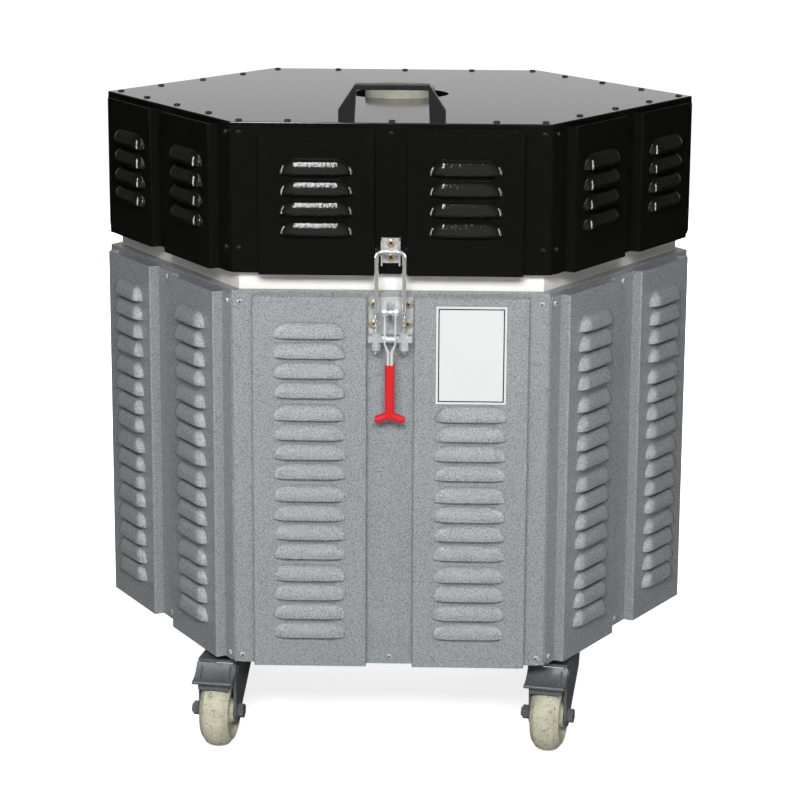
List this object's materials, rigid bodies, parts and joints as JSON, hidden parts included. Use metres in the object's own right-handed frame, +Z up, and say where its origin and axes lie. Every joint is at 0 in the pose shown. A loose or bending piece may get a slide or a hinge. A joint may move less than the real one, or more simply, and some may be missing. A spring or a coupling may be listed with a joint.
{
  "type": "electric kiln",
  "caption": "Six-sided top-loading electric kiln with louvred body and lid panels, a toggle latch, a bridge handle, a vent plug and swivel casters.",
  "frame": {"origin": "centre of the bounding box on the floor under the casters", "axes": "+Z up, -Y towards the front with the latch, +X to the right seen from the front"},
  "size_m": [0.661, 0.6672, 0.7275],
  "materials": {
    "hammered_grey": "satin hammered paint",
    "gloss_black": "gloss",
    "casing_steel": "satin",
    "frame_steel": "satin",
    "white_brick": "matte",
    "backing_board": "matte",
    "blanket": "matte",
    "plug_ceramic": "matte",
    "element_wire": "matte",
    "white_ceramic": "satin",
    "screw_steel": "satin",
    "black_screws": "gloss",
    "zinc_steel": "satin",
    "brass_screws": "satin",
    "red_grip": "gloss",
    "handle_black": "satin",
    "blank_label": "satin",
    "caster_paint": "satin metallic",
    "wheel_nylon": "satin",
    "gland_black": "satin"
  },
  "bodies": {
    "kiln_body": {"base_frame": "frame_steel", "floor_pan": "casing_steel", "floor_board": "backing_board", "floor_bricks": "white_brick", "inner_casing": "casing_steel", "body_panel_front_left": "hammered_grey", "body_panel_front_right": "hammered_grey", "body_panels_sides": "hammered_grey", "panel_screws": "screw_steel", "blank_plate": "blank_label", "wall_blanket": "blanket", "wall_bricks": "white_brick", "heating_elements": "element_wire", "element_tubes": "white_ceramic", "thermocouple": "white_ceramic", "connection_plate": "hammered_grey", "connection_cover": "hammered_grey", "terminal_blocks": "white_ceramic", "terminal_screws": "screw_steel", "cable_gland": "gland_black", "hinge_body_leaves": "zinc_steel", "hinge_pins": "zinc_steel", "latch_base": "zinc_steel", "latch_base_screws": "brass_screws", "latch_pivot_pin": "zinc_steel", "caster_top_plates": "zinc_steel", "caster_nuts": "zinc_steel"},
    "lid": {"lid_top_plate": "gloss_black", "lid_casing": "gloss_black", "lid_panels_front": "gloss_black", "lid_panels_sides": "gloss_black", "lid_plate_screws": "black_screws", "lid_panel_screws": "black_screws", "lid_bricks": "white_brick", "lid_blanket": "blanket", "lid_handle": "handle_black", "handle_bolts": "zinc_steel", "catch_plate": "zinc_steel", "catch_screws": "brass_screws", "hinge_lid_leaves": "zinc_steel"},
    "vent_plug": {"vent_plug": "plug_ceramic"},
    "latch_lever": {"latch_lever": "zinc_steel", "latch_grip": "red_grip"},
    "latch_loop": {"latch_yoke": "zinc_steel", "u_bolt": "zinc_steel", "u_bolt_nuts": "zinc_steel"},
    "caster_front_left": {"caster_fork_front_left": "caster_paint", "caster_axle_front_left": "zinc_steel"},
    "wheel_front_left": {"caster_wheel_front_left": "wheel_nylon"},
    "pedal_front_left": {"brake_pedal_front_left": "caster_paint"},
    "caster_front_right": {"caster_fork_front_right": "caster_paint", "caster_axle_front_right": "zinc_steel"},
    "wheel_front_right": {"caster_wheel_front_right": "wheel_nylon"},
    "pedal_front_right": {"brake_pedal_front_right": "caster_paint"},
    "caster_rear_left": {"caster_fork_rear_left": "caster_paint", "caster_axle_rear_left": "zinc_steel"},
    "wheel_rear_left": {"caster_wheel_rear_left": "wheel_nylon"},
    "caster_rear_right": {"caster_fork_rear_right": "caster_paint", "caster_axle_rear_right": "zinc_steel"},
    "wheel_rear_right": {"caster_wheel_rear_right": "wheel_nylon"}
  },
  "joints": [
    {"name": "lid_hinge", "type": "hinge", "parent": "kiln_body", "child": "lid", "pos_m": [0, 0.28114, 0.5235], "axis": [-1, 0, 0], "range_deg": [0, 90]},
    {"name": "plug_lift", "type": "slide", "parent": "lid", "child": "vent_plug", "axis": [0, 0, 1], "range_m": [0, 0.14]},
    {"name": "latch_lever_hinge", "type": "hinge", "parent": "kiln_body", "child": "latch_lever", "pos_m": [0, -0.32864, 0.4965], "axis": [-1, 0, 0], "range_deg": [0, 150]},
    {"name": "latch_loop_hinge", "type": "hinge", "parent": "latch_lever", "child": "latch_loop", "pos_m": [0, -0.32664, 0.4675], "axis": [-1, 0, 0], "range_deg": [-150, 0]},
    {"name": "swivel_front_left", "type": "hinge", "parent": "kiln_body", "child": "caster_front_left", "pos_m": [-0.181, -0.23584, 0.098], "axis": [0, 0, 1], "continuous": true},
    {"name": "roll_front_left", "type": "hinge", "parent": "caster_front_left", "child": "wheel_front_left", "pos_m": [-0.18569, -0.26547, 0.04], "axis": [0.9877, -0.1564, 0], "continuous": true},
    {"name": "brake_front_left", "type": "hinge", "parent": "caster_front_left", "child": "pedal_front_left", "pos_m": [-0.18632, -0.26942, 0.089], "axis": [0.9877, -0.1564, 0], "range_deg": [0, 3.5]},
    {"name": "swivel_front_right", "type": "hinge", "parent": "kiln_body", "child": "caster_front_right", "pos_m": [0.181, -0.23584, 0.098], "axis": [0, 0, 1], "continuous": true},
    {"name": "roll_front_right", "type": "hinge", "parent": "caster_front_right", "child": "wheel_front_right", "pos_m": [0.17425, -0.26507, 0.04], "axis": [0.9744, -0.225, 0], "continuous": true},
    {"name": "brake_front_right", "type": "hinge", "parent": "caster_front_right", "child": "pedal_front_right", "pos_m": [0.17335, -0.26897, 0.089], "axis": [0.9744, -0.225, 0], "range_deg": [0, 3.5]},
    {"name": "swivel_rear_left", "type": "hinge", "parent": "kiln_body", "child": "caster_rear_left", "pos_m": [-0.181, 0.19214, 0.098], "axis": [0, 0, 1], "continuous": true},
    {"name": "roll_rear_left", "type": "hinge", "parent": "caster_rear_left", "child": "wheel_rear_left", "pos_m": [-0.19821, 0.16756, 0.04], "axis": [0.8192, -0.5736, 0], "continuous": true},
    {"name": "swivel_rear_right", "type": "hinge", "parent": "kiln_body", "child": "caster_rear_right", "pos_m": [0.181, 0.19214, 0.098], "axis": [0, 0, 1], "continuous": true},
    {"name": "roll_rear_right", "type": "hinge", "parent": "caster_rear_right", "child": "wheel_rear_right", "pos_m": [0.19368, 0.16495, 0.04], "axis": [0.9063, 0.4226, 0], "continuous": true}
  ],
  "couplings": [
    {"joint": "latch_loop_hinge", "follows": "latch_lever_hinge", "ratio": -1}
  ]
}
